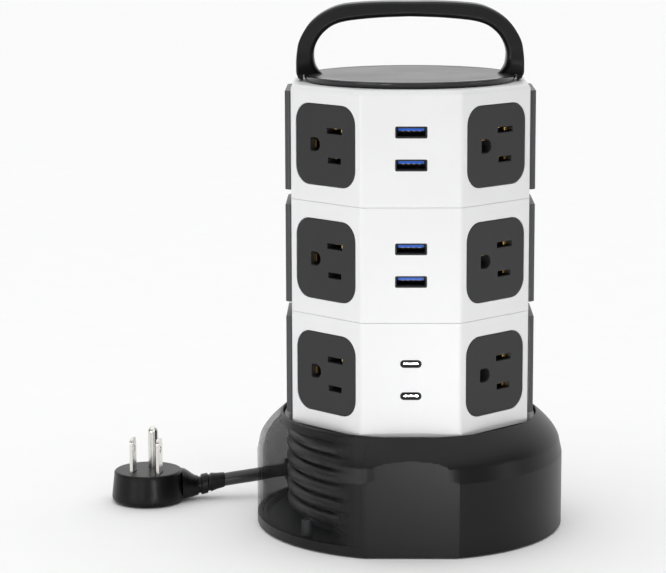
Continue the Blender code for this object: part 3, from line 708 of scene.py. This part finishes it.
hole = prism(circle(5.4, 48), -16.0, 16.0, lead_frame(44.0, GROMMET_Z))
piece("base_window", loft(glass), SMOKE, "base", ["cord_window"], hole, sharp=9)
profile = [
    (3.25, -6.5), (5.3, -6.5), (5.3, 5.7), (5.1, 6.2), (4.6, 6.5), (3.7, 6.5), (3.3, 6.2), (3.25, 5.6),
]
sleeve = lathe(profile, 48, True, lead_frame(43.5, GROMMET_Z))
piece("grommet_sleeve", sleeve, RUBBER, "base", ["cord_grommet"])

# Reel
profile = [
    (17.5, 47.4), (56.2, 47.4), (56.6, 47.8), (56.6, 49.5), (56.4, 49.85), (56.0, 50.0), (17.5, 50.0),
]
piece("flange_ring", lathe(profile, 128, True), FLANGE, "tower", ["reel_flange"])
profile = [
    (14.4, 3.6), (48.8, 3.6), (49.0, 3.8), (49.0, 46.8), (48.8, 47.0), (46.6, 47.0), (46.6, 5.6),
    (17.0, 5.6), (17.0, 45.7), (14.4, 45.7),
]
piece("reel_drum", lathe(profile, 112, True), INNER, "tower", ["cord_reel"])

# Lead, wound down the drum and then out through the grommet
TURN = 52.4
PITCH = 6.48
LAST_Z = 6.33
END_AZ = 99.7
TURNS = 5.85
route = []
count = int(TURNS * 40)
for i in range(count):
    back = TURNS * (1 - i / count)
    x, y = polar(TURN, END_AZ - 360 * back)
    route.append(Vector((x, y, LAST_Z + PITCH * back)))
heights = [
    (0.0, LAST_Z), (6.0, 6.22), (11.0, 6.24), (15.0, 6.5), (20.0, 7.4), (25.0, 8.8), (30.0, 10.4),
    (34.5, 11.55), (38.5, 12.15), (44.7, 12.3), (49.4, 12.09), (56.0, 11.25), (63.3, 10.22),
    (71.9, 9.22), (78.7, 8.36), (88.0, 6.95), (94.0, 6.2), (98.0, 6.1),
]
route += smooth_path([lead_point(s, z) for s, z in heights], 3)
curve = bpy.data.curves.new("mains_lead", "CURVE")
curve.dimensions = "3D"
line = curve.splines.new("POLY")
line.points.add(len(route) - 1)
for point, spot in zip(line.points, route):
    point.co = (*(spot * MM), 1.0)
line.use_smooth = True
curve.bevel_depth = CORD_DIAMETER / 2 * MM
curve.bevel_resolution = 6
curve.use_fill_caps = True
curve.materials.append(JACKET)
cord = bpy.data.objects.new("mains_lead", curve)
scene.collection.objects.link(cord)
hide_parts("cord_winding", "cord_lead")
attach(cord, "base")
start = route[0]
clamp = prism(rounded(9.0, 7.0, 1.6), 49.2, 56.2, frame_at(END_AZ - 360 * TURNS - 1.0, start.z))
piece("lead_clamp", clamp, INNER, "base", bevel=0.6)


# Strain relief and plug
def oval(width, height, matrix, count=40):
    """Squarish oval ring across the lead."""
    points = []
    for i in range(count):
        a = math.tau * i / count
        x = math.copysign(abs(math.cos(a)) ** 0.8, math.cos(a)) * width / 2
        y = math.copysign(abs(math.sin(a)) ** 0.8, math.sin(a)) * height / 2
        points.append(matrix @ Vector((x, y, 0)))
    return points


# Distance along the lead, width, height and the height of the centre
stations = (
    (99.2, 17.2, 13.8, 7.5), (97.6, 16.2, 13.5, 7.35), (96.0, 14.0, 12.4, 7.0), (94.4, 11.6, 11.0, 6.5),
    (93.0, 9.9, 9.8, 6.2), (91.9, 9.1, 9.1, 6.1), (91.5, 9.0, 9.0, 6.15), (91.2, 7.7, 7.7, 6.2),
    (90.2, 7.7, 7.7, 6.4), (89.9, 9.2, 9.2, 6.5), (89.5, 9.4, 9.4, 6.55), (87.2, 9.3, 9.3, 7.0),
    (86.9, 9.1, 9.1, 7.02), (86.6, 7.6, 7.6, 7.05), (85.7, 7.6, 7.6, 7.3), (85.4, 8.4, 8.4, 7.33),
    (85.0, 8.5, 8.5, 7.4), (82.6, 7.5, 7.5, 7.8), (79.3, 6.9, 6.9, 8.3), (78.9, 6.4, 6.4, 8.35),
)
relief = loft([oval(w, h, lead_frame(s, z)) for s, w, h, z in stations])
relief = piece("relief_sleeve", relief, PLUG_BLACK, "base", ["strain_relief"], sharp=50)

profile = [(0, 0.0), (14.2, 0.0)]
for a in range(15, 91, 15):
    turn = math.radians(a)
    profile.append((14.2 + 2.9 * math.sin(turn), 2.6 - 2.6 * math.cos(turn)))
profile += [(16.85, 5.0), (15.95, 12.6)]
for a in range(0, 91, 15):
    turn = math.radians(a)
    profile.append((14.75 + 1.2 * math.cos(turn), 13.6 + 1.2 * math.sin(turn)))
profile.append((0, 14.8))
holes = bmesh.new()
for bx, by in BLADES.values():
    pocket = rectangle(6.95, 20.0, 0.0, 16.1)
    prism(pocket, -1.05, 1.05, frame_at(PRONG_TURN, 0.0, bx, by), holes)
prism(circle(2.65, 32), 6.1, 20.0, at(*GROUND_PIN), holes)
body = lathe(profile, 96, False, at(*PLUG))
plug = piece("plug_moulding", body, PLUG_BLACK, "base", ["plug_body"], holes, sharp=34)
outline = [
    (-3.175, 6.4), (3.175, 6.4), (3.175, 28.6), (2.9, 29.9), (2.0, 31.3), (-2.0, 31.3), (-2.9, 29.9),
    (-3.175, 28.6),
]
for node, (bx, by) in BLADES.items():
    spot = frame_at(PRONG_TURN, 0.0, bx, by)
    hole = prism(circle(1.55, 24), -3.0, 3.0, spot @ at(0, 26.0))
    blade = prism(outline, -0.75, 0.75, spot)
    piece(node + "_strip", blade, NICKEL, "base", [node], hole, bevel=0.22)
profile = [(0, 6.4), (2.4, 6.4), (2.4, 31.6)]
for a in range(15, 91, 15):
    turn = math.radians(a)
    profile.append((2.4 * math.cos(turn), 31.6 + 2.8 * math.sin(turn)))
groove = prism(rectangle(1.0, 30.0), 2.0, 4.0, frame_at(285.0, 33.5, *GROUND_PIN))
rod = lathe(profile, 48, False, at(*GROUND_PIN))
piece("ground_pin_rod", rod, NICKEL, "base", ["ground_pin"], groove, sharp=30)


# Rear controls and other small parts, softened copies of their CAD shapes
def soften(node, look, body, width=0.25, segments=2, sharp=38):
    bm = bmesh.new()
    bm.from_mesh(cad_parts[node].data)
    bmesh.ops.remove_doubles(bm, verts=bm.verts, dist=0.000002)
    bmesh.ops.dissolve_limit(bm, angle_limit=math.radians(1.0), verts=bm.verts, edges=bm.edges)
    bmesh.ops.scale(bm, vec=(1000, 1000, 1000), verts=bm.verts)
    for face in bm.faces:
        face.material_index = 0
    return piece(node + "_soft", bm, look, body, [node], bevel=width, segments=segments, sharp=sharp)


soften("switch_housing", WELL, "tower", 0.3, 3)
soften("power_rocker", RED, "power_rocker", 0.35, 3)
soften("circuit_breaker", WELL, "tower", 0.2)
soften("reset_button", RED, "reset_button", 0.2)
soften("indicator_lens", AMBER, "tower", 0.15)
for name in ("base_screw_1", "base_screw_2", "base_screw_3"):
    soften(name, STEEL, "base", 0.12)
for name in ("foot_1", "foot_2", "foot_3", "foot_4"):
    soften(name, RUBBER, "base", 0.15)

looks = {
    "base_plate": INNER, "pivot_retainer": STEEL, "line_busbar": BRASS, "neutral_busbar": BRASS,
    "ground_busbar": BRASS, "usb_board": BOARD,
}
for name, look in looks.items():
    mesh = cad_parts[name].data
    mesh.materials.clear()
    mesh.materials.append(look)


# Studio
def stage_plane(name, size, location, look):
    bm = bmesh.new()
    bmesh.ops.create_grid(bm, x_segments=1, y_segments=1, size=size)
    mesh = bpy.data.meshes.new(name)
    bm.to_mesh(mesh)
    bm.free()
    mesh.materials.append(look)
    obj = bpy.data.objects.new(name, mesh)
    obj.location = location
    scene.collection.objects.link(obj)


floor_look = material("pale_floor", (0.94, 0.94, 0.94), 0.8, grain=60, bump=0.02, mottle=0.005)
stage_plane("floor", 12.0, (0, 0, -0.0001), floor_look)


def studio_world(level, behind, above):
    """Soft white room: bright behind and above the object, dim in front of it."""
    world = bpy.data.worlds.new("studio")
    world.use_nodes = True
    tree = world.node_tree
    where = tree.nodes.new("ShaderNodeTexCoord")
    split = tree.nodes.new("ShaderNodeSeparateXYZ")
    tree.links.new(where.outputs["Generated"], split.inputs["Vector"])
    spans = []
    for output, start, end, high in (("Y", 0.05, 0.55, behind), ("Z", 0.30, 0.80, above)):
        span = tree.nodes.new("ShaderNodeMapRange")
        span.interpolation_type = "SMOOTHSTEP"
        span.inputs["From Min"].default_value = start
        span.inputs["From Max"].default_value = end
        span.inputs["To Min"].default_value = level
        span.inputs["To Max"].default_value = high
        tree.links.new(split.outputs[output], span.inputs["Value"])
        spans.append(span)
    larger = tree.nodes.new("ShaderNodeMath")
    larger.operation = "MAXIMUM"
    for index, span in enumerate(spans):
        tree.links.new(span.outputs["Result"], larger.inputs[index])
    room = tree.nodes["Background"]
    room.inputs["Color"].default_value = (1.0, 1.0, 1.0, 1.0)
    tree.links.new(larger.outputs["Value"], room.inputs["Strength"])
    scene.world = world


studio_world(0.15, 1.0, 1.3)
scene.view_settings.view_transform = "Standard"


def area_light(name, location, target, width, height, power):
    lamp = bpy.data.lights.new(name, "AREA")
    lamp.shape = "RECTANGLE"
    lamp.size = width
    lamp.size_y = height
    lamp.energy = power
    obj = bpy.data.objects.new(name, lamp)
    obj.location = location
    obj.rotation_euler = (Vector(target) - Vector(location)).to_track_quat("-Z", "Y").to_euler()
    obj.visible_camera = False
    scene.collection.objects.link(obj)


area_light("key", (-1.35, -1.3, 0.16), (0, 0, 0.08), 0.7, 0.5, 4.7)
area_light("fill", (0.75, -1.6, 0.12), (0, 0, 0.08), 0.7, 0.4, 0.9)
area_light("coil", (-0.30, -0.62, 0.10), (-0.04, -0.03, 0.03), 0.12, 0.08, 0.42)
area_light("flat", (0.035, -0.34, 0.012), (0.02, -0.0657, 0.02), 0.03, 0.02, 0.17)
area_light("right", (0.50, -0.16, 0.09), (0.04, -0.03, 0.07), 0.12, 0.06, 0.10)
